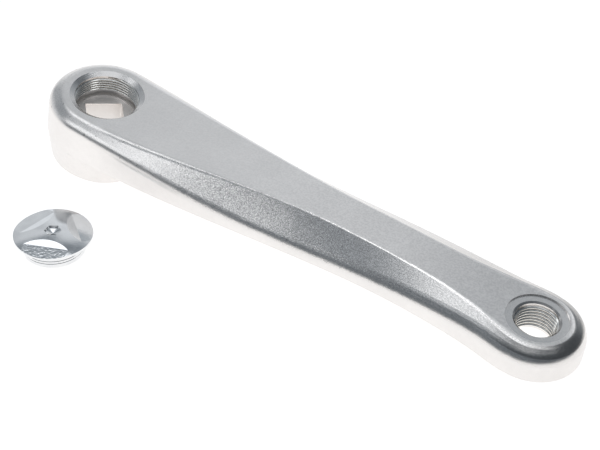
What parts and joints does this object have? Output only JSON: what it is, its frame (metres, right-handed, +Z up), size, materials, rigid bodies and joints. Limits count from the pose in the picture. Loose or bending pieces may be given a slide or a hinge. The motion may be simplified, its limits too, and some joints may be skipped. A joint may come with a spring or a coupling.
{
  "type": "bicycle crank arm",
  "caption": "Dished bicycle crank arm with a square-taper spindle eye and a threaded pedal eye, lying beside its domed dust cap.",
  "frame": {"origin": "centre of the square spindle hole on the inner face of the boss", "axes": "+X along the arm towards the pedal eye, seen from above; +Z up, with the arm lying on a bench on its inner side"},
  "size_m": [0.2069, 0.0801, 0.0309],
  "materials": {
    "arm_alloy": "bead-blasted satin",
    "cap_chrome": "polished"
  },
  "bodies": {
    "root": {"crank_arm": "arm_alloy", "dust_cap": "cap_chrome"}
  },
  "joints": []
}
